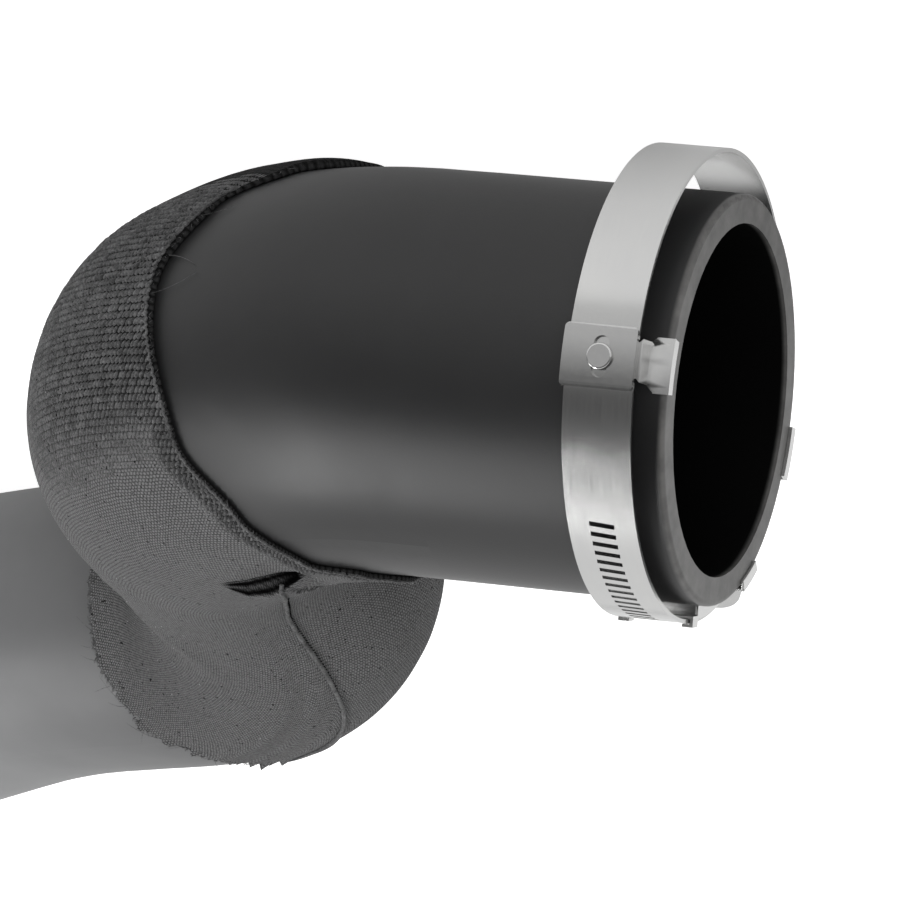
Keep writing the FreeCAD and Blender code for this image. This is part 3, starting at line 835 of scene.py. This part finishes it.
def build_lint():
    bm = bmesh.new()
    rng = random.Random(23)
    for _ in range(SPECKS):
        phi = rng.uniform(60.0, 215.0)
        t = rng.uniform(0.03, 0.97)
        low, high = edge(FRONT_EDGE, phi), edge(REAR_EDGE, phi)
        s = low + (high - low) * t
        lift, shade = cloth_lift(s, phi, t)
        if shade > 0.1:
            continue
        size = rng.uniform(*SPECK_SIZES) * MM
        place = Matrix.Translation(on_hose(s, phi, lift + 0.1))
        bmesh.ops.create_icosphere(bm, subdivisions=1, radius=size, matrix=place)
    return finish_mesh(bm, "sleeve_lint", lint_material())


sleeve = build_sleeve()
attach(sleeve, BODY)
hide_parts("textile_sleeve")
trims = [build_stitches(), build_seam(), build_fibres(), build_front_roll(), build_lint()]
for trim in trims:
    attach(trim, BODY)


# The sheet metal of the clamp: bevel in mm and slot
METAL_EDGES = {
    "clamp_band": (0.16, "band_steel"),
    "cover_plate_near": (0.16, "plate_steel"), "cover_plate_far": (0.16, "plate_steel"),
    "spring_clip_near": (0.16, "clip_steel"), "spring_clip_far": (0.16, "clip_steel"),
    "guide_clip": (0.14, "clip_steel"), "worm_housing": (0.2, "housing_steel"),
}
FLAT_ANGLE, BEVEL_ANGLE, SHARP_ANGLE = math.radians(0.5), math.radians(40), math.radians(35)
SAME_PLACE = 1e-7


def soften(node, width):
    # The node again with its edges just broken, as punched and tumbled strip has them
    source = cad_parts[node]
    bm = bmesh.new()
    bm.from_mesh(source.data)
    bmesh.ops.remove_doubles(bm, verts=bm.verts, dist=SAME_PLACE)
    bmesh.ops.dissolve_limit(bm, angle_limit=FLAT_ANGLE, verts=bm.verts, edges=bm.edges)
    mesh = bpy.data.meshes.new(node + "_soft")
    bm.to_mesh(mesh)
    bm.free()
    obj = bpy.data.objects.new(node + "_soft", mesh)
    obj.matrix_world = source.matrix_world.copy()
    bpy.context.scene.collection.objects.link(obj)
    bevel = obj.modifiers.new("edges", "BEVEL")
    bevel.width = width * MM
    bevel.segments = 2
    bevel.limit_method = "ANGLE"
    bevel.angle_limit = BEVEL_ANGLE
    bevel.use_clamp_overlap = True
    bevel.harden_normals = True
    mesh.materials.append(METAL[node])
    mesh.shade_smooth()
    mesh.set_sharp_from_angle(angle=SHARP_ANGLE)
    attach(obj, BODY)
    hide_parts(node)


for node, (width, slot) in METAL_EDGES.items():
    soften(node, width)


# Floor, light and camera
FLOOR_GAP = 0.2
FLOOR_GREY = (0.62, 0.62, 0.62, 1.0)
FLOOR_SEEN, FLOOR_MIRRORED = 0.92, 0.28


def make_floor():
    bm = bmesh.new()
    bmesh.ops.create_grid(bm, x_segments=8, y_segments=8, size=6.0)
    mesh = bpy.data.meshes.new("floor")
    bm.to_mesh(mesh)
    bm.free()
    obj = bpy.data.objects.new("floor", mesh)
    obj.location = (0, 0, -(LOWEST + FLOOR_GAP) * MM)
    bpy.context.scene.collection.objects.link(obj)
    m = bpy.data.materials.new("floor_pale")
    m.use_nodes = True
    tree = m.node_tree
    tree.nodes.clear()
    g = Graph(tree)
    out = tree.nodes.new("ShaderNodeOutputMaterial")
    diffuse = tree.nodes.new("ShaderNodeBsdfDiffuse")
    diffuse.inputs["Color"].default_value = FLOOR_GREY
    glow = tree.nodes.new("ShaderNodeEmission")
    path = tree.nodes.new("ShaderNodeLightPath")
    seen = g.times(path.outputs["Is Camera Ray"], FLOOR_SEEN)
    mirrored = g.times(path.outputs["Is Glossy Ray"], FLOOR_MIRRORED)
    g.put(glow.inputs["Strength"], g.add(seen, mirrored))
    both = tree.nodes.new("ShaderNodeAddShader")
    tree.links.new(diffuse.outputs[0], both.inputs[0])
    tree.links.new(glow.outputs[0], both.inputs[1])
    tree.links.new(both.outputs[0], out.inputs[0])
    mesh.materials.append(m)


LIGHT_AIM = Vector((-0.1, -0.03, 0.0))


def area(name, place, size, power, glossy=True):
    light = bpy.data.lights.new(name, "AREA")
    light.energy = power
    light.shape = "RECTANGLE"
    light.size, light.size_y = size
    obj = bpy.data.objects.new(name, light)
    obj.location = place
    obj.rotation_euler = (LIGHT_AIM - Vector(place)).to_track_quat("-Z", "Y").to_euler()
    obj.visible_glossy = glossy
    bpy.context.scene.collection.objects.link(obj)


make_floor()
area("overhead", place=(-0.62, -0.04, 1.05), size=(0.80, 0.17), power=5.7)
area("overhead_left", place=(-1.15, 0.08, 0.95), size=(0.45, 0.35), power=2.4)
area("camera_side", place=(0.5, 1.3, 0.9), size=(0.8, 0.8), power=9.0, glossy=False)

# The room is pale behind the object and dark in front of it, above the floor. Each
# band of it gives the degrees up from the front and the strength at either end
LOW_BAND = (math.radians(16), math.radians(40), 0.62, 0.09)
HIGH_BAND = (math.radians(82), math.radians(114), 0.0, 0.74)
world = bpy.data.worlds.new("studio")
world.use_nodes = True
tree = world.node_tree
tree.nodes.clear()
g = Graph(tree)
out = tree.nodes.new("ShaderNodeOutputWorld")
back = tree.nodes.new("ShaderNodeBackground")
back.inputs["Color"].default_value = (1.0, 1.0, 1.0, 1.0)
path = tree.nodes.new("ShaderNodeLightPath")
_, dy, dz = g.split(tree.nodes.new("ShaderNodeTexCoord").outputs["Generated"])
round_angle = g.math("ARCTAN2", dz, dy)
room = g.add(g.map(round_angle, *LOW_BAND), g.map(round_angle, *HIGH_BAND))
g.put(back.inputs["Strength"], g.math("MAXIMUM", room, path.outputs["Is Camera Ray"]))
tree.links.new(back.outputs[0], out.inputs[0])
bpy.context.scene.world = world

# The camera solved from the photograph: where it stands, and which way lie the back
# of it and the right of the picture
CAMERA_PLACE = (0.379897, 0.980124, 0.640514)
CAMERA_BACK = (0.3443, 0.79154, 0.5049)
CAMERA_RIGHT = (0.93442, -0.23669, -0.26614)
camera_data = bpy.data.cameras.new("camera")
camera_data.sensor_width = 36.0
camera_data.lens = 291.8
camera_data.clip_end = 50.0
camera = bpy.data.objects.new("camera", camera_data)
toward = Vector(CAMERA_BACK).normalized()
right = Vector(CAMERA_RIGHT)
right = (right - right.dot(toward) * toward).normalized()
up = toward.cross(right)
turn = Matrix((right, up, toward)).transposed().to_4x4()
camera.matrix_world = Matrix.Translation(CAMERA_PLACE) @ turn
bpy.context.scene.collection.objects.link(camera)
bpy.context.scene.camera = camera
bpy.context.scene.view_settings.view_transform = "Standard"
